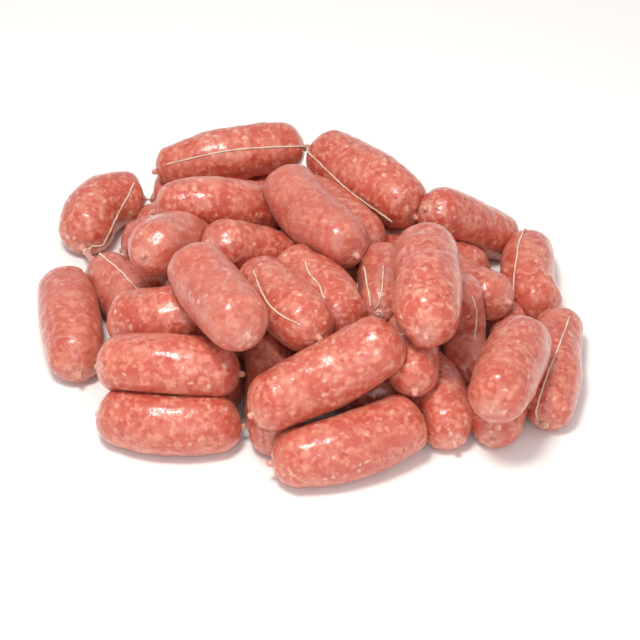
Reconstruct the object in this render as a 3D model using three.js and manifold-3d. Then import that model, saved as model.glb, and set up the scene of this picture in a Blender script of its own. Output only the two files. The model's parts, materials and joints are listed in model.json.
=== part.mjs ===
// A string of fresh pork sausages, pinched off into links, tied with butcher's twine and lying in a heap.
// Millimetres, +Z up, resting on z = 0 with the middle of the heap over the origin.
import * as THREE from "three";
import Module from "manifold-3d";

const SAUSAGE_COLOUR = "#d67768";
const SAUSAGE_ROUGHNESS = 0.35;
const TWINE_COLOUR = "#e9dcc6";
const TWINE_ROUGHNESS = 0.9;

// The view in which the links were measured: across the heap along +Y and down on it.
const VIEW_TILT = THREE.MathUtils.degToRad(40);
const VIEW_DISTANCE = 1150;
const VIEW_HEIGHT = 30;

// Each link that shows: the middles of its two round ends, as mm right, mm up in the view and mm above
// the floor, then its radius. Where it matters: its real length, how far its middle bows away from a
// straight line in the view, and how thick its two ends are as a share of its middle.
const SEEN = [
  ["link_01", [-89, 95, 46], [-24, 106, 48], 17, { taper: [0.78, 1] }],
  ["link_02", [8, 100, 66], [49, 73, 64], 18.5, {}],
  ["link_03", [74, 66, 34], [106, 51, 24], 16.5, { long: 82 }],
  ["link_04", [127, 41, 20], [126, 10, 17], 16.5, {}],
  ["link_05", [-18, 77, 76], [10, 49, 72], 18, { long: 90 }],
  ["link_06", [38, 31, 42], [39, 8, 46], 14.5, { long: 72 }],
  ["link_07", [-26, -49, 50], [34, -18, 54], 18.5, { taper: [0.95, 1], long: 98 }],
  ["link_08", [-119, -57, 18], [-66, -63, 18], 18, { bow: [0, -2] }],
  ["link_09", [-155, 17, 18], [-149, -19, 18], 18, {}],
  ["link_10", [-120, 74, 18], [-142, 56, 18], 18.5, { bow: [-4, 4] }],
  ["link_11", [-128, 27, 22], [-107, -1, 18], 16.5, { long: 78 }],
  ["link_12", [-73, 27, 70], [-52, 2, 66], 18.5, { long: 84 }],
  ["link_13", [-99, 45, 66], [-79, 50, 46], 18, { long: 76 }],
  ["link_14", [-58, 46, 46], [-24, 33, 44], 17, { long: 76 }],
  ["link_15", [-112, 1, 42], [-66, 12, 46], 18, { bow: [0, -4], long: 84 }],
  ["link_16", [-118, -28, 34], [-68, -29, 34], 17.5, { long: 85 }],
  ["link_17", [-32, -25, 20], [-26, -64, 17], 16.5, { long: 84 }],
  ["link_18", [-11, -82, 18], [49, -64, 18], 18.5, { bow: [0, -4], taper: [0.95, 1] }],
  ["link_19", [86, 14, 34], [85, -34, 17], 14.5, { long: 84 }],
  ["link_20", [66, 28, 34], [103, 13, 28], 15.5, { long: 74 }],
  ["link_21", [66, -27, 22], [75, -59, 17], 17, { long: 76 }],
  ["link_22", [122, -16, 44], [110, -42, 48], 18, { long: 80 }],
  ["link_23", [117, -34, 18], [107, -59, 17], 16.5, { long: 68 }],
  ["link_24", [146, -6, 15], [135, -50, 15], 15.5, {}],
  ["link_25", [-87, 67, 46], [-33, 69, 46], 16.5, {}],
  ["link_26", [-107, 47, 22], [-66, 55, 25], 15.5, { long: 74 }],
  ["link_27", [-3, 72, 46], [23, 53, 46], 16.5, { long: 80 }],
  ["link_28", [-12, 31, 46], [14, 5, 46], 17, { long: 82 }],
  ["link_29", [-33, 22, 54], [-10, 0, 56], 18, { long: 80 }],
  ["link_30", [57, 2, 48], [56, -29, 44], 15, { long: 76 }],
  ["link_31", [65, 41, 78], [65, 5, 76], 19.5, { long: 96 }],
  ["link_32", [115, -8, 15], [113, 6, 15], 12, { long: 44 }],
];

// The links underneath, which carry the ones that show: their two ends in plan, all on the floor.
const UNDER = [
  ["under_01", [-106, 108], [-34, 110], 17.5],
  ["under_02", [5, 112], [70, 104], 17.5],
  ["under_03", [-62, 72], [0, 78], 17.5],
  ["under_04", [38, 79], [93, 66], 17.5],
  ["under_05", [-88, 36], [-28, 36], 17.5],
  ["under_06", [5, 42], [66, 34], 17.5],
  ["under_07", [-92, -4], [-35, 0], 17.5],
  ["under_08", [0, 2], [60, 0], 17.5],
  ["under_09", [-100, -40], [-55, -38], 17.5],
  ["under_10", [-6, -36], [36, -46], 16],
  ["under_11", [-100, 148], [-28, 144], 17.5],
  ["under_12", [-106, 68], [-90, 58], 13.5],
];

// Which ends are tied to each other: 0 is the end named first, 1 the end named second.
const TIES = [
  ["link_01", 1, "link_02", 0],
  ["link_02", 1, "link_03", 0],
  ["link_03", 1, "link_04", 0],
  ["link_05", 1, "link_06", 0],
  ["link_06", 1, "link_07", 1],
  ["link_07", 0, "link_08", 1],
  ["link_08", 0, "link_09", 1],
  ["link_10", 1, "link_11", 0],
  ["link_13", 1, "link_14", 0],
  ["link_14", 1, "link_28", 0],
  ["link_15", 0, "link_16", 0],
  ["link_17", 1, "link_18", 0],
  ["link_21", 1, "link_22", 1],
  ["link_23", 1, "link_24", 1],
];

// Twine that shows: the link it lies along, the end whose neck it is wound round, and where it runs on
// the link, as mm right and mm up in the view.
const TWINES = [
  ["twine_01", "link_01", 1, [[-9, 106], [-52, 104], [-94, 95]]],
  ["twine_02", "link_02", 0, [[-4, 99], [18, 78], [44, 59]]],
  ["twine_04", "link_04", 0, [[120, 41], [118, 27], [117, 15]]],
  ["twine_06", "link_06", 1, [[36, 11], [38, 20], [39, 34]]],
  ["twine_07", "link_06", undefined, [[26, 33], [29, 19], [30, 8]]],
  ["twine_10", "link_10", 1, [[-132, 45], [-122, 65], [-113, 84]]],
  ["twine_11", "link_11", 0, [[-133, 40], [-121, 30], [-110, 18]]],
  ["twine_19", "link_19", undefined, [[93, 15], [96, 4], [95, -12]]],
  ["twine_24", "link_24", 1, [[131, -56], [137, -37], [146, -15], [153, 3]]],
  ["twine_28", "link_28", undefined, [[-9, 36], [-7, 29], [-1, 22], [2, 13]]],
  ["twine_29", "link_29", undefined, [[-41, 31], [-35, 15], [-27, 5], [-12, -3]]],
];

// A link's own form: its domes and thinner ends as shares of its radius, and its pinched necks in mm.
const DOME_HEIGHT = 0.95;
const DOME_BLUNTNESS = 0.8;
const DOME_DROOP = 0.15;
const END_SHARE = 0.93;
const NECK_RADIUS = 2.2;
const NECK_TIP_RADIUS = 1.6;
const NECK_LENGTH = 2.6;
const SHORTEST_NECK = 1.2;
const LONGEST_NECK = 16;
const NUB = 0.8;
const TWINE_RADIUS = 0.65;

// How close pieces lie: links swell into the room between them, press flat on each other, and a thin gap
// is left between them.
const FULLNESS = 1.06;
const SQUASH = 1.6;
const FLOOR_SQUASH = 1.3;
const GAP = 0.5;
const GAP_STEP = 0.2;
const TWINE_GAP = 0.7;
const TIE_RADIUS = NECK_RADIUS + TWINE_GAP + 2 * TWINE_RADIUS;
const WIND_SLACK = 0.1;
const WIND_RADIUS = NECK_RADIUS + TWINE_GAP / 2 + TWINE_RADIUS + WIND_SLACK;
const WIND_PITCH = 1.7;
const THINNEST = 0.3;

// How a neck looks for room: how far apart it tries places, how clear they are, and the ways it leans.
const NECK_STEP = 0.75;
const NECK_ROOM = 0.4;
const OWN_ROOM = 1.5;
const NECK_LEANS = [30, 55].map(THREE.MathUtils.degToRad);
const NECK_TURNS = 12;
const TURN_COST = 4;

// A tied neck that leans far over first rises straight out of its dome, to a knee.
const TIE_LEAD = 2.5;
const KNEE_LEAN = THREE.MathUtils.degToRad(60);
const KNEE_RISE = 4;
const MOST_LEAN = THREE.MathUtils.degToRad(105);

// How finely the pieces are drawn.
const LINK_SIDES = 12;
const UNDER_SIDES = 8;
const TWINE_SIDES = 5;
const DOME_ANGLES = [70, 30].map(THREE.MathUtils.degToRad);
const BODY_STATIONS = [0.06, 0.35, 0.65, 0.94];
const RUN_STEPS = 11;
const BRIDGE_STEPS = 3;
const WIND_POINTS = 9;
const WIND_POINTS_A_TURN = 8;
const HALVINGS = 14;
const CAST_STEPS = 80;
const CAST_NEAR = 0.01;
const MOST_ROUNDS = 24;

// How the heap settles: balls strung along each link, and small moves repeated until they rest.
const BALLS = 7;
const SETTLE_ROUNDS = 900;
const FALL_START = 0.25;
const FALL_END = 0.03;
const VIEW_PULL = 0.25;
const VIEW_PULL_LAST = 0.2;
const VIEW_PULL_FADE = 3;
const PLAN_PULL = 0.04;
const BEND_PULL = 0.3;
const NECK_PULL = 0.15;
const TIE_PULL = 0.2;
const PUSH = 0.8;

const viewUp = new THREE.Vector3(0, Math.sin(VIEW_TILT), Math.cos(VIEW_TILT));
const viewAhead = new THREE.Vector3(0, Math.cos(VIEW_TILT), -Math.sin(VIEW_TILT));
const eye = new THREE.Vector3(0, 0, VIEW_HEIGHT).addScaledVector(viewAhead, -VIEW_DISTANCE);

// The direction in which the eye sees a place that is so far right and up in the view.
function sightLine(right, up) {
  const place = new THREE.Vector3(right, 0, VIEW_HEIGHT).addScaledVector(viewUp, up);
  return place.sub(eye).normalize();
}

// A chain of balls for one link, along its measured line.
function seenLink(name, start, end, radius, { bow = [0, 0], taper = [1, 1], long }) {
  const balls = [];
  for (let index = 0; index < BALLS; index += 1) {
    const share = index / (BALLS - 1);
    const swell = 4 * share * (1 - share);
    const [right, up, height] = start.map((value, axis) => value + (end[axis] - value) * share);
    const sight = sightLine(right + bow[0] * swell, up + bow[1] * swell);
    const place = eye.clone().addScaledVector(sight, (height - eye.z) / sight.z);
    balls.push({ place, sight, radius: radius * ballShare(share, taper) });
  }
  return withNecks({ name, balls, radius, long, sides: LINK_SIDES });
}

// The same for a link that is placed in plan, on the floor.
function underLink(name, start, end, radius) {
  const balls = [];
  for (let index = 0; index < BALLS; index += 1) {
    const share = index / (BALLS - 1);
    const [x, y] = start.map((value, axis) => value + (end[axis] - value) * share);
    const place = new THREE.Vector3(x, y, radius);
    balls.push({ place, home: place.clone(), radius: radius * ballShare(share, [1, 1]) });
  }
  return withNecks({ name, balls, radius, sides: UNDER_SIDES });
}

// A link is a little thinner towards its ends, and more so where it tapers.
function ballShare(share, [before, after]) {
  const round = 1 - (1 - END_SHARE) * (2 * share - 1) ** 2;
  const endShare = share < 0.5 ? before : after;
  const inward = THREE.MathUtils.smoothstep(share < 0.5 ? share : 1 - share, 0, 0.5);
  return round * (endShare + (1 - endShare) * inward);
}

// Adds the small ball at each neck, and the distance that the link's length leaves between its balls.
function withNecks(link) {
  const ends = [link.balls[0], link.balls[BALLS - 1]];
  const inner = [link.balls[1], link.balls[BALLS - 2]];
  link.necks = ends.map((ball, side) => {
    const out = ball.place.clone().sub(inner[side].place).normalize();
    const reach = ball.radius * DOME_HEIGHT + NECK_LENGTH / 2;
    const place = ball.place.clone().addScaledVector(out, reach);
    return { place, radius: NECK_RADIUS + NUB, reach, light: true };
  });
  const domes = (ends[0].radius + ends[1].radius) * DOME_HEIGHT;
  const length = link.long ?? ends[0].place.distanceTo(ends[1].place) + domes;
  link.spacing = (length - domes) / (BALLS - 1);
  link.bend = link.balls.slice(1, -1).map((ball, index) => {
    return ball.place.clone().sub(midway(link.balls, index + 1));
  });
  return link;
}

// The point halfway between the two neighbours of a ball in its chain.
function midway(chain, index) {
  return chain[index - 1].place.clone().add(chain[index + 1].place).multiplyScalar(0.5);
}

// Lets all the links fall together, press on each other and on the floor, and keep their measured places.
function settle(links, linkNamed) {
  const everyBall = links.flatMap((link) => [...link.balls, ...link.necks].map((ball) => ({ ball, link })));
  for (let round = 0; round < SETTLE_ROUNDS; round += 1) {
    const left = 1 - round / SETTLE_ROUNDS;
    const fall = FALL_START * left + FALL_END;
    const pull = VIEW_PULL * Math.min(1, VIEW_PULL_LAST + VIEW_PULL_FADE * left);
    for (const { ball } of everyBall) ball.place.z -= fall;
    for (const link of links) {
      for (let index = 1; index < BALLS; index += 1) {
        keepDistance(link.balls[index - 1], link.balls[index], link.spacing, PUSH);
      }
      straighten(link);
      keepDistance(link.balls[0], link.necks[0], link.necks[0].reach, 1);
      keepDistance(link.balls[BALLS - 1], link.necks[1], link.necks[1].reach, 1);
    }
    for (const [first, firstSide, second, secondSide] of TIES) {
      const one = linkNamed.get(first).necks[firstSide];
      const two = linkNamed.get(second).necks[secondSide];
      if (one.place.distanceTo(two.place) > NECK_LENGTH) keepDistance(one, two, NECK_LENGTH, TIE_PULL);
    }
    pushApart(everyBall);
    for (const { ball } of everyBall) {
      ball.place.z = Math.max(ball.place.z, ball.radius - FLOOR_SQUASH);
      if (ball.sight) pullToSight(ball, pull);
      if (ball.home) {
        ball.place.x += (ball.home.x - ball.place.x) * PLAN_PULL;
        ball.place.y += (ball.home.y - ball.place.y) * PLAN_PULL;
      }
    }
  }
}

// Moves two balls towards the distance they should have; a light neck gives way to a heavy ball.
function keepDistance(first, second, distance, share) {
  const apart = second.place.clone().sub(first.place);
  const move = ((apart.length() - distance) * share) / apart.length();
  const firstShare = first.light === second.light ? 0.5 : Number(Boolean(first.light));
  first.place.addScaledVector(apart, move * firstShare);
  second.place.addScaledVector(apart, move * (firstShare - 1));
}

// Each ball is drawn towards the middle of its neighbours, less the bend that it was measured with.
function straighten(link) {
  const chain = link.balls;
  for (let index = 1; index < BALLS - 1; index += 1) {
    const bent = chain[index].place.clone().sub(midway(chain, index));
    const error = bent.sub(link.bend[index - 1]).multiplyScalar(BEND_PULL);
    chain[index].place.addScaledVector(error, -1);
    chain[index - 1].place.addScaledVector(error, 0.5);
    chain[index + 1].place.addScaledVector(error, 0.5);
  }
  for (const side of [0, 1]) {
    const { end, out } = endOf(link, side);
    const neck = link.necks[side];
    neck.place.lerp(end.place.clone().addScaledVector(out, neck.reach), NECK_PULL);
  }
}

// The last ball at one end of a link, and the way that the end points.
function endOf(link, side) {
  const end = link.balls[side === 0 ? 0 : BALLS - 1];
  const inner = link.balls[side === 0 ? 1 : BALLS - 2];
  return { end, out: end.place.clone().sub(inner.place).normalize() };
}

function pullToSight(ball, pull) {
  const out = ball.place.clone().sub(eye);
  const onSight = ball.sight.clone().multiplyScalar(out.dot(ball.sight));
  ball.place.addScaledVector(onSight.sub(out), pull);
}

function pushApart(everyBall) {
  for (let first = 0; first < everyBall.length; first += 1) {
    const one = everyBall[first];
    for (let second = first + 1; second < everyBall.length; second += 1) {
      const two = everyBall[second];
      if (one.link === two.link) continue;
      const reach = one.ball.radius + two.ball.radius - SQUASH;
      if (one.ball.place.distanceToSquared(two.ball.place) < reach * reach) {
        keepDistance(one.ball, two.ball, reach, PUSH);
      }
    }
  }
}

// The spot on the middle line of a link, or of its necks, that a place is nearest to the skin of.
function nearestSpot(link, place, skipNecks = false) {
  let nearest = { clear: Infinity };
  const parts = skipNecks ? link.bodyParts : [...link.bodyParts, ...link.neckParts.flat()];
  for (const [from, to] of parts) {
    const edge = to.middle.clone().sub(from.middle);
    const share = THREE.MathUtils.clamp(place.clone().sub(from.middle).dot(edge) / edge.lengthSq(), 0, 1);
    const spot = from.middle.clone().addScaledVector(edge, share);
    const clear = place.distanceTo(spot) - from.radius - (to.radius - from.radius) * share;
    if (clear < nearest.clear) nearest = { clear, spot };
  }
  return nearest;
}

// How far a ray from a ring's middle may go: to its radius, or to where it meets the floor or a link.
function stopAt(neighbours, middle, ray, radius, partner) {
  let reach = radius;
  if (middle.z + ray.z * reach < 0) reach = middle.z / -ray.z;
  for (const [other, gap] of neighbours) {
    const free = (distance) => {
      const place = middle.clone().addScaledVector(ray, distance);
      return nearestSpot(other, place, other === partner).clear >= gap + distance - radius;
    };
    if (free(reach)) continue;
    let [near, far] = [0, reach];
    for (let step = 0; step < HALVINGS; step += 1) {
      const half = (near + far) / 2;
      if (free(half)) near = half;
      else far = half;
    }
    reach = near;
  }
  return middle.clone().addScaledVector(ray, Math.max(reach, THINNEST));
}

// A dome's middle line, as a function of the share of its height. It droops, because the pinched end of a
// soft link hangs low, and it is drawn in where a neighbour presses on it.
function domeLine(link, side, neighbours) {
  const { end, out } = endOf(link, side);
  const droop = new THREE.Vector3(0, 0, -1).addScaledVector(out, out.z);
  return (share) => {
    const reach = out.clone().multiplyScalar(DOME_HEIGHT * share);
    reach.addScaledVector(droop, DOME_DROOP * share ** 2);
    const length = end.radius * reach.length();
    return stopAt(neighbours, end.place, reach.normalize(), length);
  };
}

// Lays a neck in the way that has the most room, as near as can be to the way in which it is pulled.
function layNeck(link, side, neighbours) {
  const { out } = endOf(link, side);
  const top = domeLine(link, side, neighbours)(1);
  const tie = link.ties[side];
  const leans = Boolean(tie) && tie.point.clone().sub(top).angleTo(out) > KNEE_LEAN;
  const from = leans ? top.clone().addScaledVector(out, KNEE_RISE) : top;
  const wanted = tie ? tie.point.distanceTo(from) - GAP / 2 : NECK_LENGTH;
  const goal = tie ? tie.point.clone().sub(from).normalize() : out;
  const limits = neighbours.map(([other]) => ({ other, room: NECK_ROOM, skipNecks: other === tie?.partner }));
  if (leans) limits.push({ other: link, room: OWN_ROOM, skipNecks: true });
  let best = { score: -Infinity };
  for (const way of [goal, ...leaningWays(out)]) {
    const room = clearLength(limits, from, way, wanted);
    const score = room - TURN_COST * (1 - way.dot(goal));
    if (score > best.score) best = { score, room, way };
  }
  const length = Math.max(best.room, SHORTEST_NECK);
  const tip = from.clone().addScaledVector(best.way, length);
  const tied = Boolean(tie) && best.way === goal && length === wanted;
  link.necks[side] = { top, from, tip, way: best.way, face: tied ? tie.along : best.way, tied };
  const [rootRadius, tipRadius] = tied ? [TIE_RADIUS, TIE_RADIUS] : [NECK_RADIUS, NECK_TIP_RADIUS];
  const root = { middle: from, radius: rootRadius };
  link.neckParts[side] = [[root, { middle: tip, radius: tipRadius }]];
  if (leans) link.neckParts[side].push([{ middle: top, radius: rootRadius }, root]);
}

// Directions spread round the way that an end points.
function leaningWays(out) {
  const sideways = new THREE.Vector3(out.y, -out.x, 0).normalize();
  const upwards = out.clone().cross(sideways);
  const ways = [];
  for (const lean of NECK_LEANS) {
    for (let turn = 0; turn < NECK_TURNS; turn += 1) {
      const angle = (turn / NECK_TURNS) * 2 * Math.PI;
      const across = sideways.clone().multiplyScalar(Math.cos(angle));
      across.addScaledVector(upwards, Math.sin(angle));
      ways.push(out.clone().multiplyScalar(Math.cos(lean)).addScaledVector(across, Math.sin(lean)));
    }
  }
  return ways;
}

// How far a neck can go one way before it comes too near to a link or to the floor.
function clearLength(limits, from, way, wanted) {
  let room = 0;
  for (let ahead = NECK_STEP; ahead <= wanted; ahead += NECK_STEP) {
    const place = from.clone().addScaledVector(way, ahead);
    const touches = ({ other, room, skipNecks }) => nearestSpot(other, place, skipNecks).clear < room;
    if (place.z < NECK_RADIUS + GAP || limits.some(touches)) break;
    room = ahead;
  }
  return room > wanted - NECK_STEP ? wanted : room;
}

// Whether a tied neck reaches its point, is short enough and doesn't lean back over its own link.
function holds(link, side) {
  const { from, way, tied } = link.necks[side];
  const { out } = endOf(link, side);
  return tied && link.ties[side].point.distanceTo(from) < LONGEST_NECK && way.angleTo(out) < MOST_LEAN;
}

// Two ends that can't reach each other both keep a short free neck instead.
function untieIfShort(link, side, neighboursOf) {
  const tie = link.ties[side];
  if (!tie) return;
  const { partner, partnerSide } = tie;
  if (holds(link, side) && holds(partner, partnerSide)) return;
  link.ties[side] = undefined;
  partner.ties[partnerSide] = undefined;
  layNeck(link, side, neighboursOf(link));
  layNeck(partner, partnerSide, neighboursOf(partner));
}

// The point just past the top of a dome, from which its tied neck sets off.
function leadOf(link, side) {
  return domeLine(link, side, [])(1).addScaledVector(endOf(link, side).out, TIE_LEAD);
}

// Joins up the ends that are tied: each neck reaches for the point halfway between the two.
function tieEnds(linkNamed) {
  for (const [first, firstSide, second, secondSide] of TIES) {
    const [one, two] = [linkNamed.get(first), linkNamed.get(second)];
    const [from, to] = [leadOf(one, firstSide), leadOf(two, secondSide)];
    const point = from.clone().add(to).multiplyScalar(0.5);
    const along = to.clone().sub(from).normalize();
    one.ties[firstSide] = { point, partner: two, partnerSide: secondSide, along };
    two.ties[secondSide] = { point, partner: one, partnerSide: firstSide, along: along.clone().negate() };
  }
}

// Rings along a link from one tip to the other: the middle of each, its radius and the way it faces.
function ringsOf(link, neighbours) {
  const endRings = (side) => {
    const { end, out } = endOf(link, side);
    const { top, from, tip, way, face } = link.necks[side];
    const partner = link.ties[side]?.partner;
    const domePoint = domeLine(link, side, neighbours);
    const turned = way.clone().add(out).normalize();
    const knee = { middle: from, radius: NECK_RADIUS, along: turned, partner };
    return [
      { middle: tip, radius: NECK_TIP_RADIUS, along: face, partner },
      knee,
      ...(from === top ? [] : [{ ...knee, middle: top, along: out }]),
      ...DOME_ANGLES.map((angle) => {
        const radius = end.radius * Math.cos(angle) ** DOME_BLUNTNESS;
        return { middle: domePoint(Math.sin(angle)), radius, along: out };
      }),
    ];
  };
  const spine = new THREE.CatmullRomCurve3(link.balls.map((ball) => ball.place));
  const body = BODY_STATIONS.map((share) => {
    const before = Math.floor(share * (BALLS - 1));
    const radius = THREE.MathUtils.lerp(
      link.balls[before].radius, link.balls[before + 1].radius, share * (BALLS - 1) - before);
    return { middle: spine.getPoint(share), radius, along: spine.getTangent(share) };
  });
  const turned = endRings(0).map((ring) => ({ ...ring, along: ring.along.clone().negate() }));
  return [...turned, ...body, ...endRings(1).reverse()];
}

// One closed skin through rings of points, with a single point at each tip. Each point stops where the
// link presses on a neighbour or on the floor, which leaves the flat spots that soft links have.
function linkSkin(link, neighbours) {
  const rings = ringsOf(link, neighbours);
  const points = [];
  const down = new THREE.Vector3(0, 0, -1);
  for (const { middle, radius, along, partner } of rings) {
    const low = down.clone().addScaledVector(along, -down.dot(along)).normalize();
    const across = along.clone().cross(low);
    for (let index = 0; index < link.sides; index += 1) {
      const turn = ((index + 0.5) / link.sides) * 2 * Math.PI;
      const ray = low.clone().multiplyScalar(Math.cos(turn)).addScaledVector(across, Math.sin(turn));
      points.push(stopAt(neighbours, middle, ray, radius, partner));
    }
  }
  const firstTip = points.length;
  const [firstNub, lastNub] = link.necks.map(({ tied }) => (tied ? 0 : NUB));
  points.push(rings[0].middle.clone().addScaledVector(rings[0].along, -firstNub));
  points.push(rings.at(-1).middle.clone().addScaledVector(rings.at(-1).along, lastNub));
  const faces = [];
  for (let ring = 0; ring < rings.length; ring += 1) {
    for (let index = 0; index < link.sides; index += 1) {
      const here = ring * link.sides + index;
      const beside = ring * link.sides + ((index + 1) % link.sides);
      if (ring === 0) faces.push(firstTip, beside, here);
      if (ring === rings.length - 1) faces.push(firstTip + 1, here, beside);
      else faces.push(here, beside, beside + link.sides, here, beside + link.sides, here + link.sides);
    }
  }
  const geometry = new THREE.BufferGeometry().setFromPoints(points);
  geometry.setIndex(faces);
  return geometry;
}

function nearEachOther(one, two) {
  const reach = one.radius + two.radius + 2 * LONGEST_NECK;
  return one.balls.some((ball) => two.balls.some((other) => ball.place.distanceTo(other.place) < reach));
}

// Builds every skin, and widens the gap between two links until their solids are clear of each other.
function buildSkins(links, toSolid) {
  const pairs = [];
  for (const [index, one] of links.entries()) {
    for (const two of links.slice(index + 1)) {
      if (nearEachOther(one, two)) pairs.push({ one, two, gap: GAP });
    }
  }
  const neighboursOf = (link) => pairs
    .filter(({ one, two }) => one === link || two === link)
    .map(({ one, two, gap }) => [one === link ? two : one, gap]);
  const eachEnd = (lay) => links.forEach((link) => [0, 1].forEach((side) => lay(link, side)));
  eachEnd((link, side) => layNeck(link, side, neighboursOf(link)));
  eachEnd((link, side) => untieIfShort(link, side, neighboursOf));
  let again = new Set(links);
  const skins = new Map();
  const solids = new Map();
  for (let round = 0; round < MOST_ROUNDS && again.size > 0; round += 1) {
    for (const link of again) {
      skins.set(link, linkSkin(link, neighboursOf(link)));
      solids.set(link, toSolid(skins.get(link)));
    }
    again = new Set();
    for (const pair of pairs) {
      if (solids.get(pair.one).intersect(solids.get(pair.two)).volume() === 0) continue;
      pair.gap += GAP_STEP;
      again.add(pair.one).add(pair.two);
    }
  }
  return skins;
}

// A curve whose steps fall on its own points.
class SteppedCurve extends THREE.CatmullRomCurve3 {
  getUtoTmapping(share) {
    return share;
  }
}

// One length of twine: wound once round a neck, where it has one, then laid along its link.
function buildTwine(link, side, route) {
  const seen = new THREE.SplineCurve(route.map(([right, up]) => new THREE.Vector2(right, up)));
  const laid = seen.getPoints(RUN_STEPS).map(({ x, y }) => castOnLink(link, x, y));
  const wound = side === undefined ? [] : windNeck(link.necks[side], link, laid[0]);
  const bridge = side === undefined ? [] : bridgeOver(link, wound.at(-1), laid[0]);
  const path = new SteppedCurve([...wound, ...bridge, ...laid]);
  const corners = [];
  for (let index = 0; index < TWINE_SIDES; index += 1) {
    const turn = (index / TWINE_SIDES) * 2 * Math.PI;
    corners.push(new THREE.Vector2(Math.cos(turn) * TWINE_RADIUS, Math.sin(turn) * TWINE_RADIUS));
  }
  const run = { steps: path.points.length - 1, extrudePath: path, bevelEnabled: false };
  return new THREE.ExtrudeGeometry(new THREE.Shape(corners), run);
}

// The place where a sight line meets the twine's height over a link, or passes nearest to it.
function castOnLink(link, right, up) {
  const sight = sightLine(right, up);
  const height = TWINE_RADIUS + TWINE_GAP;
  let travelled = VIEW_DISTANCE / 2;
  let nearest = { clear: Infinity };
  for (let step = 0; step < CAST_STEPS; step += 1) {
    const place = eye.clone().addScaledVector(sight, travelled);
    const { clear, spot } = nearestSpot(link, place, true);
    if (clear < nearest.clear) nearest = { clear, spot, place };
    if (clear - height < CAST_NEAR) break;
    travelled += clear - height;
  }
  const out = nearest.place.clone().sub(nearest.spot).normalize();
  return nearest.place.addScaledVector(out, height - nearest.clear);
}

// Twine between a neck and the run along the link, held on the skin of the rounded end.
function bridgeOver(link, from, to) {
  const points = [];
  for (let index = 1; index < BRIDGE_STEPS; index += 1) {
    points.push(liftOff(link, from.clone().lerp(to, index / BRIDGE_STEPS)));
  }
  return points;
}

// Moves a place straight out of a link until twine laid there clears the skin.
function liftOff(link, place, skipNecks = false) {
  const { clear, spot } = nearestSpot(link, place, skipNecks);
  const out = place.clone().sub(spot).normalize();
  return place.clone().addScaledVector(out, Math.max(TWINE_RADIUS + TWINE_GAP - clear, 0));
}

// A turn of twine round the middle of a neck, ending on the side where the twine runs on.
function windNeck({ from, tip, way }, link, onward) {
  const middle = from.clone().add(tip).multiplyScalar(0.5);
  const towards = onward.clone().sub(middle);
  const across = towards.addScaledVector(way, -towards.dot(way)).normalize();
  const side = way.clone().cross(across);
  const points = [];
  for (let index = WIND_POINTS; index >= 1; index -= 1) {
    const turn = (index / WIND_POINTS_A_TURN) * 2 * Math.PI;
    const point = middle.clone().addScaledVector(way, (index / WIND_POINTS_A_TURN - 0.5) * WIND_PITCH);
    point.addScaledVector(across, Math.cos(turn) * WIND_RADIUS);
    points.push(liftOff(link, point.addScaledVector(side, Math.sin(turn) * WIND_RADIUS), true));
  }
  return points;
}

const links = [...SEEN.map((row) => seenLink(...row)), ...UNDER.map((row) => underLink(...row))];
const linkNamed = new Map(links.map((link) => [link.name, link]));
settle(links, linkNamed);
for (const link of links) {
  for (const ball of link.balls) ball.radius *= FULLNESS;
  const rounds = link.balls.map((ball) => ({ middle: ball.place, radius: ball.radius }));
  link.bodyParts = rounds.slice(1).map((to, index) => [rounds[index], to]);
  link.neckParts = [];
  link.ties = [undefined, undefined];
}
tieEnds(linkNamed);

const wasm = await Module();
wasm.setup();
const skins = buildSkins(links, (geometry) => {
  const vertProperties = Float32Array.from(geometry.attributes.position.array);
  const triVerts = Uint32Array.from(geometry.index.array);
  return new wasm.Manifold(new wasm.Mesh({ numProp: 3, vertProperties, triVerts }));
});

const heap = new THREE.Group();
for (const link of links) {
  const casing = new THREE.MeshStandardMaterial({ color: SAUSAGE_COLOUR, roughness: SAUSAGE_ROUGHNESS });
  const mesh = new THREE.Mesh(skins.get(link), casing);
  mesh.name = link.name;
  heap.add(mesh);
}
for (const [name, linkName, side, route] of TWINES) {
  const cotton = new THREE.MeshStandardMaterial({ color: TWINE_COLOUR, roughness: TWINE_ROUGHNESS });
  const mesh = new THREE.Mesh(buildTwine(linkNamed.get(linkName), side, route), cotton);
  mesh.name = name;
  heap.add(mesh);
}
const middle = new THREE.Box3().setFromObject(heap).getCenter(new THREE.Vector3());
heap.position.set(-middle.x, -middle.y, 0);

export default heap;
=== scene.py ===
"""A heap of fresh pork sausage links in natural casing, with cotton twine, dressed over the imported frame.

Every link is built anew over its CAD solid: the solid's rings are smoothed, and get the lumps of coarse
mince under the casing and the pleats at the pinched necks. Every run of twine is laid as two twisted plies.
"""
import json
import math

import bmesh
import bpy
import numpy
from bpy.props import FloatProperty, FloatVectorProperty, IntProperty, PointerProperty
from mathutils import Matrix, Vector, noise
from mathutils.bvhtree import BVHTree
from mathutils.kdtree import KDTree

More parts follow.
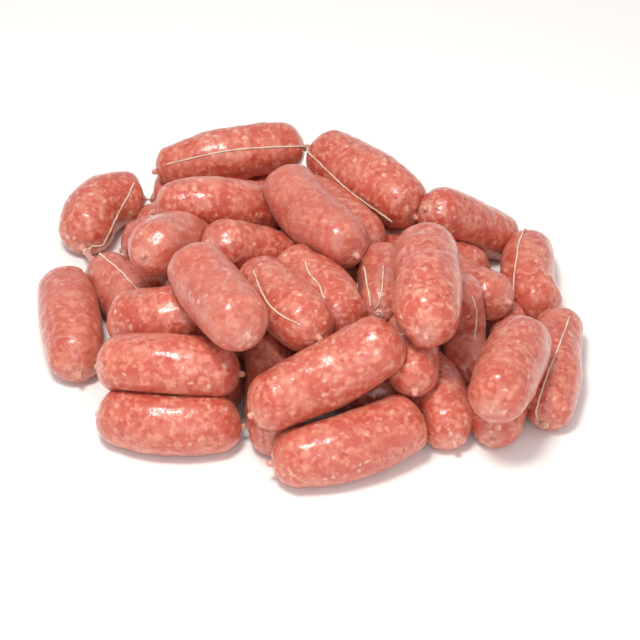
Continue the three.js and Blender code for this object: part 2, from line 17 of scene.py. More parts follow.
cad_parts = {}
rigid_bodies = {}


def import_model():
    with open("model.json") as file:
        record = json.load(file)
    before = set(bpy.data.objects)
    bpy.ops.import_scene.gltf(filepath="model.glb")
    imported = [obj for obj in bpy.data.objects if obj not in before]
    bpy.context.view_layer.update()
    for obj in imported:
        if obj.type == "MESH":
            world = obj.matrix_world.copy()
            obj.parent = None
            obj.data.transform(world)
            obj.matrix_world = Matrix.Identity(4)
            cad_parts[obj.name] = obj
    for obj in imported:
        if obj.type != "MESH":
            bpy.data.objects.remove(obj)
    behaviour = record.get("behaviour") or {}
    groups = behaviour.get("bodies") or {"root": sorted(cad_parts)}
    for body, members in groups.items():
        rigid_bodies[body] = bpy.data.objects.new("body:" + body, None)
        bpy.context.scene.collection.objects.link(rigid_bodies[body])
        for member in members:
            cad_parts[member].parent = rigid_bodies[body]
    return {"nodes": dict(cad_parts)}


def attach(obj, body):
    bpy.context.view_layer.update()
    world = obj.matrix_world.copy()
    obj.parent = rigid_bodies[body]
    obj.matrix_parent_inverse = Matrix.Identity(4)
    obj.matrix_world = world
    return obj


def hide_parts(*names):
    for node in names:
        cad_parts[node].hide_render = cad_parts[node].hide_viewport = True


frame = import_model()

bl_info = {
    "name": "String of sausage links",
    "version": (1, 0, 0),
    "blender": (4, 5, 0),
    "location": "3D View > Sidebar > Sausages",
    "description": "Dresses a heap of fresh sausage links with casing, mince and cotton twine",
    "category": "Add Mesh",
}

MM = 0.001
bpy.context.view_layer.update()
LINK_NODES = sorted(name for name in frame["nodes"] if not name.startswith("twine_"))
TWINE_NODES = sorted(name for name in frame["nodes"] if name.startswith("twine_"))

# The camera's view of the heap, as it was measured in the photograph.
VIEW_TARGET = Vector((7.6, -27.2, 30)) * MM
VIEW_WIDTH = 390.4 * MM
SENSOR_WIDTH = 36

# How milky the casing is on each link that looks paler and pinker than the rest, from 0 to 1.
MILKY_LINKS = {
    "link_05": 0.75, "link_06": 0.6, "link_08": 0.25, "link_09": 0.45, "link_11": 0.5, "link_12": 0.7,
    "link_13": 0.6, "link_17": 0.4, "link_18": 0.25, "link_19": 0.5, "link_20": 0.4, "link_22": 0.35,
    "link_24": 0.35, "link_26": 0.3,
}
MILKY_REST = 0.1

# The heap rests on z = 0. The floor is a hair lower than that, and reaches 4 m to each side.
FLOOR_DROP = 0.3 * MM
FLOOR_HALF_WIDTH = 4

# Corners of a CAD solid that lie nearer than this are one corner.
SAME_CORNER = 0.001 * MM
# A run of twine is a tube of so many sides, and each corner between its caps has so many edges.
TWINE_SIDES = 5
TWINE_CORNER_EDGES = 6

# The casing is wholly drawn together a little before a link is thinnest.
PINCH_GAIN = 1.15
# How far pleats wander round a neck, in radians of their wave. Their depth goes with the pinch and with
# what the pinch falls short of PLEAT_FADE, so they are deepest about half way down a neck.
PLEAT_WANDER = 2.5
PLEAT_FADE = 1.2
# Each size of unevenness is looked up elsewhere in the noise, so that they don't line up.
GRAIN_SHIFT = Vector((7, 3, 5))
BULGE_SHIFT = Vector((2, 9, 4))
# How far apart the places on the twine's route lie from which the grooves are measured.
GROOVE_STEP = 1 * MM

# A ply's section: its sides, how far its middle lies off the twine's, and how thin its cut ends are.
# The last two are shares of its radius.
PLY_SIDES = 8
PLY_OFFSET = 0.86
PLY_END = 0.55


def linear(hex_colour):
    """An sRGB hex colour as linear red, green and blue."""
    parts = [int(hex_colour[at:at + 2], 16) / 255 for at in (1, 3, 5)]
    return tuple(part / 12.92 if part <= 0.04045 else ((part + 0.055) / 1.055) ** 2.4 for part in parts)


def colour(name, description, hex_colour):
    """A colour that can be changed in the panel."""
    return FloatVectorProperty(name=name, description=description, subtype="COLOR", size=3, min=0, max=1,
                               default=linear(hex_colour))


def length(name, description, millimetres):
    """A length that can be changed in the panel."""
    return FloatProperty(name=name, description=description, unit="LENGTH", min=0, default=millimetres * MM)


def power(name, description, watts):
    """A lamp's power that can be changed in the panel."""
    return FloatProperty(name=name, description=description, unit="POWER", min=0, default=watts)


class SausageLook(bpy.types.PropertyGroup):
    """Sizes and colours of the links."""

    sides: IntProperty(name="Sides", description="Faces round a link", default=72, min=24)
    step: length("Step", "Length of the faces along a link", 1.3)
    swell: length("Swell", "How far the soft casing presses on its neighbours", 0.22)
    bulge: length("Bulge", "Height of the slow unevenness of a hand filled casing", 0.6)
    bulge_size: length("Bulge size", "How far apart the slow bulges lie", 24)
    lump: length("Lump", "Height of the mince lumps under the casing", 0.46)
    lump_size: length("Lump size", "How far apart the mince lumps lie", 7)
    grain: length("Grain", "Height of the finer bits of mince", 0.2)
    grain_size: length("Grain size", "How far apart the finer bits lie", 2.8)
    pleat: length("Pleat", "Depth of the folds where the casing is pinched", 0.32)
    pleats: IntProperty(name="Pleats", description="Folds round a neck", default=9, min=3)
    neck_span: length("Neck span", "How far from its tip a link can be drawn together", 21)
    neck_radius: length("Neck radius", "Radius under which the casing is drawn together in folds", 11.2)
    groove: length("Groove", "How far twine presses into the casing", 0.4)
    groove_flat: length("Groove floor", "How far the bottom of a groove runs to each side", 1.1)
    groove_side: length("Groove side", "How far the side of a groove takes to fade", 0.9)
    lean: colour("Lean", "Pink of the minced lean pork", "#C45E4A")
    red: colour("Red", "Redder lean meat", "#B23A2A")
    fat: colour("Fat", "Bits of fat close under the casing", "#DB927A")
    pale: colour("Pale", "The whitest small bits of fat", "#E0B6A1")
    deep: colour("Deep", "Small bits of dark lean meat", "#9C3429")
    pepper: colour("Pepper", "Specks of ground pepper", "#5C3026")
    milk: colour("Milk", "Mince seen through thick milky casing", "#BA6C5F")
    casing: colour("Casing", "Casing at the pinched necks, and its fine threads", "#E3BDAB")


class TwineLook(bpy.types.PropertyGroup):
    """Sizes and colours of the twine."""

    ply: length("Ply", "Radius of one of the two plies", 0.33)
    twist: length("Twist", "Length of one turn of the plies", 3.6)
    step: length("Step", "Length of the faces along a ply", 0.45)
    sink: length("Sink", "How far the twine presses into the casing", 0.15)
    reach: length("Reach", "How far off a casing the twine is still drawn onto it", 2)
    rounding: IntProperty(name="Rounding", description="How often bends are evened out", default=24, min=0)
    cotton: colour("Cotton", "Undyed cotton, damp from the meat", "#E9D8C4")
    stained: colour("Stained", "Cotton that has taken up meat juice", "#D8AB93")


class StudioLook(bpy.types.PropertyGroup):
    """The floor, the lights and the camera."""

    tilt: FloatProperty(name="Tilt", description="How far the camera looks down", subtype="ANGLE",
                        default=math.radians(40))
    distance: length("Distance", "From the camera to the heap", 1150)
    floor: colour("Floor", "Plain pale floor", "#F4F1EE")
    sky: FloatProperty(name="Sky", description="Strength of the light from all round", default=0.69, min=0)
    key: power("Key", "Power of the soft light above", 10)
    fill: power("Fill", "Power of the light in front", 3.4)


def add_node(tree, kind, inputs=None, **settings):
    """Adds a shader node with its settings; each input is a value, or the output that feeds it."""
    node = tree.nodes.new(kind)
    for name, value in settings.items():
        setattr(node, name, value)
    for socket, value in (inputs or {}).items():
        if isinstance(value, bpy.types.NodeSocket):
            tree.links.new(value, node.inputs[socket])
        else:
            node.inputs[socket].default_value = value
    return node


def blank_material(name):
    """A new material with only its shader and output."""
    material = bpy.data.materials.new(name)
    material.use_nodes = True
    tree = material.node_tree
    tree.nodes.clear()
    shader = add_node(tree, "ShaderNodeBsdfPrincipled")
    add_node(tree, "ShaderNodeOutputMaterial", {"Surface": shader.outputs["BSDF"]})
    return material, tree, shader


def opaque(paint):
    """A linear colour with full alpha, as a colour socket takes it."""
    return (*paint, 1)


def per(millimetres):
    """The scale of a pattern whose parts are so far apart."""
    return 1 / (millimetres * MM)


def pork_material(look):
    """Coarsely minced pork in natural hog casing: a thin gut, washed, filled, and still moist.

    The mince is pink lean with bits of fat 2 to 6 mm across. The wet gut over it gives soft milky depth,
    short streaks of gloss, and slightly blurred edges to every bit.
    """
    material, tree, shader = blank_material("fresh_pork_in_hog_casing")
    place = add_node(tree, "ShaderNodeTexCoord").outputs["Object"]

    # Bits have ragged outlines, so the place where they are looked up is stirred by a finer noise.
    stir = add_node(tree, "ShaderNodeTexNoise", {"Vector": place, "Scale": per(4), "Detail": 2})
    offset = add_node(tree, "ShaderNodeVectorMath", {0: stir.outputs["Color"], 1: (0.5, 0.5, 0.5)},
                      operation="SUBTRACT")
    moved = add_node(tree, "ShaderNodeVectorMath", {0: offset.outputs[0], "Scale": 4.5 * MM},
                     operation="SCALE")
    stirred = add_node(tree, "ShaderNodeVectorMath", {0: place, 1: moved.outputs[0]},
                       operation="ADD").outputs[0]

    def laid_over(below, paint, pattern, low, high, share):
        """Lays a colour over what is below it, more as the pattern goes from low to high, up to a share."""
        cover = add_node(tree, "ShaderNodeMapRange", {"Value": pattern, "From Min": low, "From Max": high,
                                                     "To Max": share}, interpolation_type="SMOOTHSTEP")
        layer = add_node(tree, "ShaderNodeMix", {0: cover.outputs["Result"], 6: below, 7: opaque(paint)},
                         data_type="RGBA")
        return layer.outputs[2]

    def in_clouds(below, paint, size, low, high, share):
        """Lays a colour over what is below it in soft clouds of one size in millimetres."""
        cloud = add_node(tree, "ShaderNodeTexNoise", {"Vector": stirred, "Scale": per(size), "Detail": 1})
        return laid_over(below, paint, cloud.outputs["Fac"], low, high, share)

    def in_bits(below, paint, size, kept, edge, shift, share):
        """Lays a colour over what is below it in rounded bits that stand apart and fade at their edges.

        Places for bits lie a size in millimetres apart, and the kept share of them holds a bit. The edge
        is a bit's radius as a share of the size, and the shift gives each kind of bit its own places.
        """
        # So many of the bits are only partly there, and a bit is even over so much of its radius.
        faint = 0.06
        core = 0.1
        start = add_node(tree, "ShaderNodeVectorMath", {0: stirred, 1: (shift, shift, shift)},
                         operation="ADD")
        cells = add_node(tree, "ShaderNodeTexVoronoi", {"Vector": start.outputs[0], "Scale": per(size)})
        chance = add_node(tree, "ShaderNodeSeparateColor", {"Color": cells.outputs["Color"]})
        chosen = add_node(tree, "ShaderNodeMapRange", {
            "Value": chance.outputs["Red"], "From Min": 1 - kept, "From Max": 1 - kept + faint,
            "To Max": share,
        }, interpolation_type="SMOOTHSTEP")
        distance = cells.outputs["Distance"]
        return laid_over(below, paint, distance, edge, core * edge, chosen.outputs["Result"])

    mince = in_clouds(opaque(look.lean), look.red, size=24, low=0.38, high=0.66, share=0.4)
    mince = in_clouds(mince, look.fat, size=14, low=0.42, high=0.68, share=0.45)
    mince = in_clouds(mince, look.red, size=7, low=0.46, high=0.7, share=0.7)
    mince = in_clouds(mince, look.fat, size=4.2, low=0.48, high=0.72, share=0.6)
    mince = in_bits(mince, look.fat, size=6.4, kept=0.6, edge=0.5, shift=0, share=0.85)
    mince = in_bits(mince, look.red, size=5.4, kept=0.5, edge=0.48, shift=0.31, share=0.8)
    mince = in_bits(mince, look.fat, size=3.8, kept=0.45, edge=0.48, shift=0.44, share=0.8)
    mince = in_bits(mince, look.pale, size=4.8, kept=0.2, edge=0.45, shift=0.57, share=0.9)
    mince = in_bits(mince, look.deep, size=3.8, kept=0.14, edge=0.38, shift=0.83, share=0.75)
    mince = in_bits(mince, look.pepper, size=4, kept=0.04, edge=0.2, shift=1.13, share=0.5)

    # Fine pale threads of the gut's own fat run over the casing, and come and go.
    line = add_node(tree, "ShaderNodeTexNoise", {"Vector": place, "Scale": per(62), "Detail": 0})
    away = add_node(tree, "ShaderNodeMath", {0: line.outputs["Fac"], 1: 0.5}, operation="SUBTRACT")
    away = add_node(tree, "ShaderNodeMath", {0: away.outputs[0]}, operation="ABSOLUTE")
    patch = add_node(tree, "ShaderNodeTexNoise", {"Vector": stirred, "Scale": per(22), "Detail": 0})
    shown = add_node(tree, "ShaderNodeMapRange", {"Value": patch.outputs["Fac"], "From Min": 0.54,
                                                 "From Max": 0.66, "To Max": 0.32},
                     interpolation_type="SMOOTHSTEP")
    mince = laid_over(mince, look.casing, away.outputs[0], low=0.009, high=0.002,
                      share=shown.outputs["Result"])

    # Thick gut hides the mince in slow patches, and gut that is drawn together hides it most.
    milky = add_node(tree, "ShaderNodeAttribute", attribute_name="milky")
    thick = add_node(tree, "ShaderNodeMath", {0: milky.outputs["Fac"], 1: 0.6}, operation="MULTIPLY")
    mince = in_clouds(mince, look.milk, size=12, low=0.2, high=0.5, share=thick.outputs[0])
    pinch = add_node(tree, "ShaderNodeAttribute", attribute_name="pinch").outputs["Fac"]
    drawn = add_node(tree, "ShaderNodeMath", {0: pinch, 1: pinch}, operation="MULTIPLY")
    drawn = add_node(tree, "ShaderNodeMath", {0: drawn.outputs[0], 1: 0.4}, operation="MULTIPLY")
    skin = add_node(tree, "ShaderNodeMix", {0: drawn.outputs[0], 6: mince, 7: opaque(look.casing)},
                    data_type="RGBA")
    tree.links.new(skin.outputs[2], shader.inputs["Base Color"])

    # Where more juice stands on the casing it shines more sharply.
    gloss = add_node(tree, "ShaderNodeTexNoise", {"Vector": place, "Scale": per(11), "Detail": 2})
    wet = add_node(tree, "ShaderNodeMapRange", {"Value": gloss.outputs["Fac"], "From Min": 0.3,
                                               "From Max": 0.7, "To Min": 0.26, "To Max": 0.42})
    tree.links.new(wet.outputs["Result"], shader.inputs["Roughness"])

    # Fine bits press through the casing, and the film itself is faintly wrinkled.
    rough = add_node(tree, "ShaderNodeTexNoise", {"Vector": stirred, "Scale": per(2.2), "Detail": 3})
    bump = add_node(tree, "ShaderNodeBump", {"Height": rough.outputs["Fac"], "Strength": 0.55,
                                             "Distance": 0.35 * MM})
    for socket in ("Normal", "Coat Normal"):
        tree.links.new(bump.outputs["Normal"], shader.inputs[socket])

    shader.inputs["IOR"].default_value = 1.45
    shader.inputs["Subsurface Weight"].default_value = 0.4
    shader.inputs["Subsurface Radius"].default_value = (1.0, 0.3, 0.2)
    shader.inputs["Subsurface Scale"].default_value = 3 * MM
    shader.inputs["Coat Weight"].default_value = 0.8
    shader.inputs["Coat Roughness"].default_value = 0.17
    shader.inputs["Coat IOR"].default_value = 1.38
    shader.inputs["Sheen Weight"].default_value = 0.12
    shader.inputs["Sheen Roughness"].default_value = 0.4
    shader.inputs["Sheen Tint"].default_value = opaque(look.casing)
    return material


def twine_material(look):
    """Undyed cotton butcher's twine: matt spun yarn with fine fibres, a little stained where it is wet."""
    material, tree, shader = blank_material("undyed_cotton_twine")
    place = add_node(tree, "ShaderNodeTexCoord").outputs["Object"]
    stain = add_node(tree, "ShaderNodeTexNoise", {"Vector": place, "Scale": per(9), "Detail": 3})
    share = add_node(tree, "ShaderNodeMapRange", {"Value": stain.outputs["Fac"], "From Min": 0.45,
                                                 "From Max": 0.7}, interpolation_type="SMOOTHSTEP")
    yarn = add_node(tree, "ShaderNodeMix", {0: share.outputs["Result"], 6: opaque(look.cotton),
                                            7: opaque(look.stained)}, data_type="RGBA")
    tree.links.new(yarn.outputs[2], shader.inputs["Base Color"])
    # Single fibres are too fine to show, so they are drawn 0.25 mm apart.
    fibres = add_node(tree, "ShaderNodeTexNoise", {"Vector": place, "Scale": per(0.25), "Detail": 2})
    bump = add_node(tree, "ShaderNodeBump", {"Height": fibres.outputs["Fac"], "Strength": 0.5,
                                             "Distance": 0.1 * MM})
    tree.links.new(bump.outputs["Normal"], shader.inputs["Normal"])
    shader.inputs["Roughness"].default_value = 0.85
    shader.inputs["Subsurface Weight"].default_value = 0.1
    shader.inputs["Subsurface Scale"].default_value = 0.5 * MM
    return material


def floor_material(look):
    """A sheet of plain matt paper, with the faint cloudiness of its fibres."""
    material, tree, shader = blank_material("plain_matt_paper")
    place = add_node(tree, "ShaderNodeTexCoord").outputs["Object"]
    cloud = add_node(tree, "ShaderNodeTexNoise", {"Vector": place, "Scale": per(60), "Detail": 3})
    shade = 0.985
    darker = tuple(value * shade for value in look.floor)
    paper = add_node(tree, "ShaderNodeMix", {0: cloud.outputs["Fac"], 6: opaque(look.floor),
                                             7: opaque(darker)}, data_type="RGBA")
    tree.links.new(paper.outputs[2], shader.inputs["Base Color"])
    shader.inputs["Roughness"].default_value = 0.9
    return material


def merged_solid(node):
    """A CAD node's mesh with its doubled corners merged."""
    solid = bmesh.new()
    solid.from_mesh(frame["nodes"][node].data)
    bmesh.ops.remove_doubles(solid, verts=solid.verts, dist=SAME_CORNER)
    return solid


def neighbours(corner):
    """The corners that share an edge with a corner."""
    return {edge.other_vert(corner) for edge in corner.link_edges}


def link_rings(node):
    """The corners of a link's solid, ring by ring from tip to tip, each ring in the same turning order."""
    solid = merged_solid(node)
    # Only the two tips have as many edges as a ring has sides.
    sides = max(len(corner.link_edges) for corner in solid.verts)
    tips = [corner for corner in solid.verts if len(corner.link_edges) == sides]
    tip = min(tips, key=lambda corner: tuple(corner.co))
    after = {}
    for face in tip.link_faces:
        corners = list(face.verts)
        at = corners.index(tip)
        after[corners[(at + 2) % 3]] = corners[(at + 1) % 3]
    start = min(after, key=lambda corner: corner.co.z)
    ring = [start]
    while len(ring) < sides:
        ring.append(after[ring[-1]])
    # Each two neighbours in a ring share one corner of the next ring, and it comes to the far tip last.
    seen = {tip}
    rings = [[tip.co.copy()] * sides]
    while len(set(ring)) == sides:
        rings.append([corner.co.copy() for corner in ring])
        seen.update(ring)
        ring = [
            (neighbours(ring[at]) & neighbours(ring[at - 1]) - seen).pop() for at in range(sides)
        ]
    rings.append([ring[0].co.copy()] * sides)
    solid.free()
    return numpy.array([[tuple(place) for place in ring] for ring in rings])


def eased(points, spans, counts):
    """Smooth curves through rows of points, with so many steps in each span; one column is one curve."""
    # The slope at an inner point is worked out from the spans beside it and the chord across both.
    slopes = numpy.zeros_like(points)
    gaps = numpy.array(spans).reshape(-1, 1, 1)
    rise = (points[1:] - points[:-1]) / gaps
    wide = (points[2:] - points[:-2]) / (gaps[1:] + gaps[:-1])
    slopes[1:-1] = rise[:-1] - wide + rise[1:]
    slopes[0] = rise[0]
    slopes[-1] = rise[-1]
    rows = []
    for at, count in enumerate(counts):
        for step in range(count):
            t = step / count
            rows.append(
                points[at] * (2 * t ** 3 - 3 * t ** 2 + 1)
                + slopes[at] * gaps[at] * (t ** 3 - 2 * t ** 2 + t)
                + points[at + 1] * (3 * t ** 2 - 2 * t ** 3)
                + slopes[at + 1] * gaps[at] * (t ** 3 - t ** 2)
            )
    rows.append(points[-1])
    return numpy.array(rows)


def fine_skin(rings, look):
    """A fine grid over a link's rings: rows from tip to tip, each going once round the link."""
    sides = rings.shape[1]
    each = max(1, round(look.sides / sides))
    # Each ring runs on past its seam at both ends, so that the curve is as smooth there as elsewhere.
    lead = 2
    padded = numpy.concatenate([rings[:, -lead:], rings, rings[:, :lead + 1]], axis=1).transpose(1, 0, 2)
    around = eased(padded, [1] * (len(padded) - 1), [each] * (len(padded) - 1))
    around = around[lead * each:(lead + sides) * each].transpose(1, 0, 2)
    reach = numpy.linalg.norm(around[1:] - around[:-1], axis=2).mean(axis=1)
    counts = [max(2, math.ceil(span / look.step)) for span in reach]
    skin = eased(around, numpy.sqrt(reach), counts)
    skin[1:-1, :, 2] = numpy.maximum(skin[1:-1, :, 2], 0)
    return skin


def skin_normals(skin):
    """Unit vectors pointing out of a skin, one for each of its points."""
    along = numpy.gradient(skin, axis=0)
    around = numpy.roll(skin, -1, axis=1) - numpy.roll(skin, 1, axis=1)
    normals = numpy.cross(along, around)
    tiny = 1e-12
    normals /= numpy.maximum(numpy.linalg.norm(normals, axis=2, keepdims=True), tiny)
    outward = skin - skin.mean(axis=1, keepdims=True)
    if (normals * outward).sum() < 0:
        normals = -normals
    return normals


def relief(place, pinch, turn, groove, look):
    """How far the casing stands out at one place."""
    lumps = noise.noise(place / look.lump_size)
    grains = noise.noise(place / look.grain_size + GRAIN_SHIFT)
    bulge = noise.noise(place / look.bulge_size + BULGE_SHIFT)
    mound = look.swell + lumps * look.lump + grains * look.grain + bulge * look.bulge
    fold = math.cos(look.pleats * turn + PLEAT_WANDER * lumps)
    pleats = look.pleat * fold * pinch * (PLEAT_FADE - pinch)
    return mound * (1 - pinch) + pleats - groove


def grid_mesh(name, skin, pinches, milky):
    """A closed mesh over a grid whose first and last rows are single points.

    Its corners keep how far the casing is pinched there, and how milky it is.
    """
    rows, sides = skin.shape[:2]
    inner = skin[1:-1].reshape(-1, 3)
    corners = numpy.concatenate([skin[:1, 0], inner, skin[-1:, 0]])
    last = len(corners) - 1
    faces = []
    for side in range(sides):
        beside = (side + 1) % sides
        faces.append((0, 1 + beside, 1 + side))
        faces.append((last, last - sides + side, last - sides + beside))
        for row in range(rows - 3):
            here = 1 + row * sides
            faces.append((here + side, here + beside, here + sides + beside, here + sides + side))
    mesh = bpy.data.meshes.new(name)
    mesh.from_pydata(corners.tolist(), [], faces)
    for label, values in (("pinch", pinches), ("milky", [milky] * len(corners))):
        mesh.attributes.new(label, "FLOAT", "POINT").data.foreach_set("value", values)
    mesh.update()
    return mesh


def facing_out(mesh):
    """Turns a closed mesh's faces outwards."""
    work = bmesh.new()
    work.from_mesh(mesh)
    bmesh.ops.recalc_face_normals(work, faces=work.faces)
    work.to_mesh(mesh)
    work.free()
    mesh.shade_smooth()


def add_piece(name, mesh, material, node):
    """Puts a piece in the scene over the CAD node that it stands for."""
    mesh.materials.append(material)
    piece = bpy.data.objects.new(name, mesh)
    bpy.context.scene.collection.objects.link(piece)
    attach(piece, "root")
    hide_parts(node)


def twine_route(node):
    """The middle line of a run of twine: the middles of its solid's rings, from end to end."""
    solid = merged_solid(node)
    ends = [corner for corner in solid.verts if len(corner.link_edges) < TWINE_CORNER_EDGES]
    closest = sorted(ends, key=lambda corner: (corner.co - ends[0].co).length)[:TWINE_SIDES - 1]
    # The corner that a cap's faces fan out from has as many edges as one between the caps, and is the
    # neighbour that the cap's other corners share.
    ring = set(closest) | set.intersection(*(neighbours(corner) for corner in closest))
    seen = set()
    route = []
    while ring:
        route.append(sum((corner.co for corner in ring), Vector()) / len(ring))
        seen |= ring
        ring = set().union(*(neighbours(corner) for corner in ring)) - seen
    solid.free()
    return route


def smooth_route(route, step, rounding=0):
    """A route with points close together on a smooth curve, its bends evened out so many times."""
    points = numpy.array([tuple(place) for place in route]).reshape(-1, 1, 3)
    spans = numpy.linalg.norm(points[1:] - points[:-1], axis=2)[:, 0]
    counts = [max(1, math.ceil(span / step)) for span in spans]
    smooth = eased(points, numpy.sqrt(spans), counts)[:, 0]
    for _ in range(rounding):
        smooth[1:-1] = (smooth[:-2] + 2 * smooth[1:-1] + smooth[2:]) / 4
    return [Vector(row) for row in smooth]


def dress_link(node, grooves, material, look):
    """Builds one sausage over its CAD solid."""
    skin = fine_skin(link_rings(node), look)
    normals = skin_normals(skin)
    tips = [Vector(skin[0, 0]), Vector(skin[-1, 0])]
    rows, sides = skin.shape[:2]
    pinches = [1.0]
    for row in range(1, rows - 1):
        middle = Vector(skin[row].mean(axis=0))
        radius = numpy.linalg.norm(skin[row] - skin[row].mean(axis=0), axis=1).mean()
        at_neck = min((middle - tip).length for tip in tips) < look.neck_span
        slim = 1 - min(1, radius / look.neck_radius)
        pinch = min(1.0, slim * PINCH_GAIN) if at_neck else 0.0
        for side in range(sides):
            place = Vector(skin[row, side])
            turn = 2 * math.pi * side / sides
            beyond = max(0, grooves.find(place)[2] - look.groove_flat) / look.groove_side
            groove = look.groove * math.exp(-beyond ** 2)
            moved = place + Vector(normals[row, side]) * relief(place, pinch, turn, groove, look)
            moved.z = max(moved.z, 0)
            skin[row, side] = moved
            pinches.append(pinch)
    pinches.append(1.0)
    name = node.replace("link", "sausage").replace("under", "sausage_under")
    mesh = grid_mesh(name, skin, pinches, MILKY_LINKS.get(node, MILKY_REST))
    facing_out(mesh)
    add_piece(name, mesh, material, node)


def ply_mesh(name, route, look):
    """Two plies of yarn twisted round each other along a route, drawn in a little at their cut ends."""
    corners = []
    faces = []
    across = (route[1] - route[0]).orthogonal().normalized()
    travelled = 0
    frames = []
    for at, place in enumerate(route):
        ahead = (route[min(at + 1, len(route) - 1)] - route[max(at - 1, 0)]).normalized()
        across = (across - ahead * across.dot(ahead)).normalized()
        travelled += (place - route[at - 1]).length if at else 0
        frames.append((place, across, ahead.cross(across), ahead, travelled))
    for ply in (0, 1):
        base = len(corners)
        for at, (place, across, beside, ahead, travelled) in enumerate(frames):
            phase = 2 * math.pi * travelled / look.twist + math.pi * ply
            out = across * math.cos(phase) + beside * math.sin(phase)
            side = ahead.cross(out)
            radius = look.ply * (PLY_END if at in (0, len(frames) - 1) else 1)
            middle = place + out * look.ply * PLY_OFFSET
            for corner in range(PLY_SIDES):
                turn = 2 * math.pi * corner / PLY_SIDES
                corners.append(middle + (out * math.cos(turn) + side * math.sin(turn)) * radius)
        for at in range(len(frames) - 1):
            first = base + at * PLY_SIDES
            for corner in range(PLY_SIDES):
                here = first + corner
                beside = first + (corner + 1) % PLY_SIDES
                faces.append((here, beside, beside + PLY_SIDES, here + PLY_SIDES))
        faces.append(tuple(range(base, base + PLY_SIDES)))
        faces.append(tuple(range(len(corners) - PLY_SIDES, len(corners))))
    mesh = bpy.data.meshes.new(name)
    mesh.from_pydata([tuple(corner) for corner in corners], [], faces)
    facing_out(mesh)
    return mesh


def lay_twine(node, skins, material, look):
    """Lays one run of twine on the skin of the link that carries it."""
    route = smooth_route(twine_route(node), look.step, look.rounding)
    middle = route[len(route) // 2]
    skin = min(skins, key=lambda tree: tree.find_nearest(middle)[3])
    laid = []
    for place in route:
        spot, normal, _, distance = skin.find_nearest(place)
        on_skin = spot + normal * (2 * look.ply - look.sink)
        # Within reach the twine lies on the casing, and by twice as far it keeps to its own route.
        laid.append(place.lerp(on_skin, max(0, min(1, 2 - distance / look.reach))))
    add_piece(node.replace("twine", "cotton_twine"), ply_mesh(node, laid, look), material, node)


class HEAP_OT_dress_links(bpy.types.Operator):
    """Builds every sausage over its solid, with its mince, casing and pinched necks."""

    bl_idname = "heap.dress_links"
    bl_label = "Dress the links"

    def execute(self, context):
        if not LINK_NODES:
            raise RuntimeError("the frame holds no links")
        look = context.scene.sausage_look
        material = pork_material(look)
        laid = [place for node in TWINE_NODES for place in smooth_route(twine_route(node), GROOVE_STEP)]
        grooves = KDTree(len(laid))
        for at, place in enumerate(laid):
            grooves.insert(place, at)
        grooves.balance()
        for node in LINK_NODES:
            dress_link(node, grooves, material, look)
        return {"FINISHED"}


class HEAP_OT_lay_twine(bpy.types.Operator):
    """Lays the runs of cotton twine on the sausages."""

    bl_idname = "heap.lay_twine"
    bl_label = "Lay the twine"

    def execute(self, context):
        look = context.scene.twine_look
        material = twine_material(look)
        sausages = [piece for piece in bpy.data.objects if piece.name.startswith("sausage_")]
        if not sausages:
            raise RuntimeError("the twine lies on the sausages, so they are built first")
        skins = []
        for piece in sausages:
            corners = [corner.co for corner in piece.data.vertices]
            skins.append(BVHTree.FromPolygons(corners, [face.vertices for face in piece.data.polygons]))
        for node in TWINE_NODES:
            lay_twine(node, skins, material, look)
        return {"FINISHED"}


def add_softbox(name, place, width, watts, tint):
    """A square soft light that faces the heap."""
    data = bpy.data.lights.new(name, "AREA")
    data.size = width
    data.energy = watts
    data.color = linear(tint)
    light = bpy.data.objects.new(name, data)
    bpy.context.scene.collection.objects.link(light)
    light.location = place
    light.rotation_euler = (VIEW_TARGET - light.location).to_track_quat("-Z", "Y").to_euler()


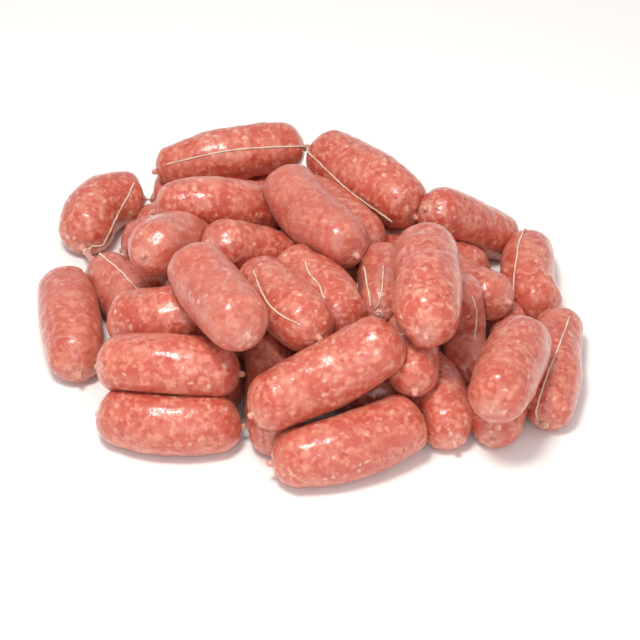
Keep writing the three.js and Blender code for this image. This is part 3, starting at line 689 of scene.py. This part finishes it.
class HEAP_OT_set_studio(bpy.types.Operator):
    """Sets the pale floor, the soft lights and the camera."""

    bl_idname = "heap.set_studio"
    bl_label = "Set the studio"

    def execute(self, context):
        look = context.scene.studio_look
        scene = context.scene
        mesh = bpy.data.meshes.new("floor")
        turns = ((-1, -1), (1, -1), (1, 1), (-1, 1))
        corners = [(x * FLOOR_HALF_WIDTH, y * FLOOR_HALF_WIDTH, 0) for x, y in turns]
        mesh.from_pydata(corners, [], [(0, 1, 2, 3)])
        mesh.materials.append(floor_material(look))
        floor = bpy.data.objects.new("floor", mesh)
        floor.location.z = -FLOOR_DROP
        scene.collection.objects.link(floor)

        world = bpy.data.worlds.new("soft_room")
        world.use_nodes = True
        sky = world.node_tree.nodes["Background"]
        sky.inputs["Color"].default_value = opaque(linear("#F7F8FB"))
        sky.inputs["Strength"].default_value = look.sky
        scene.world = world
        add_softbox("key_softbox", (-0.18, -0.3, 1.15), width=0.28, watts=look.key, tint="#FFFDF8")
        add_softbox("fill_softbox", (0.1, -1.0, 0.62), width=0.7, watts=look.fill, tint="#FBFCFF")
        scene.view_settings.view_transform = "Standard"

        data = bpy.data.cameras.new("camera")
        data.sensor_width = SENSOR_WIDTH
        data.lens = SENSOR_WIDTH * look.distance / VIEW_WIDTH
        camera = bpy.data.objects.new("camera", data)
        scene.collection.objects.link(camera)
        back = Vector((0, -math.cos(look.tilt), math.sin(look.tilt)))
        camera.location = VIEW_TARGET + back * look.distance
        camera.rotation_euler = (-back).to_track_quat("-Z", "Y").to_euler()
        scene.camera = camera
        return {"FINISHED"}


class HEAP_PT_sausages(bpy.types.Panel):
    """Lists the steps that make the heap, with the sizes and colours that each uses."""

    bl_idname = "HEAP_PT_sausages"
    bl_label = "Sausage links"
    bl_space_type = "VIEW_3D"
    bl_region_type = "UI"
    bl_category = "Sausages"

    def draw(self, context):
        steps = (("sausage_look", HEAP_OT_dress_links), ("twine_look", HEAP_OT_lay_twine),
                 ("studio_look", HEAP_OT_set_studio))
        for group, step in steps:
            look = getattr(context.scene, group)
            for name in look.__annotations__:
                self.layout.prop(look, name)
            self.layout.operator(step.bl_idname)


CLASSES = (SausageLook, TwineLook, StudioLook, HEAP_OT_dress_links, HEAP_OT_lay_twine,
           HEAP_OT_set_studio, HEAP_PT_sausages)


def register():
    """Adds the classes, and the looks that the scene keeps."""
    for each in CLASSES:
        bpy.utils.register_class(each)
    bpy.types.Scene.sausage_look = PointerProperty(type=SausageLook)
    bpy.types.Scene.twine_look = PointerProperty(type=TwineLook)
    bpy.types.Scene.studio_look = PointerProperty(type=StudioLook)


def unregister():
    """Takes away what register added."""
    del bpy.types.Scene.studio_look
    del bpy.types.Scene.twine_look
    del bpy.types.Scene.sausage_look
    for each in reversed(CLASSES):
        bpy.utils.unregister_class(each)


def main():
    """Builds the stage, the links and the twine."""
    register()
    bpy.ops.heap.set_studio()
    bpy.ops.heap.dress_links()
    bpy.ops.heap.lay_twine()
    bpy.context.view_layer.update()


if __name__ == "__main__":
    main()
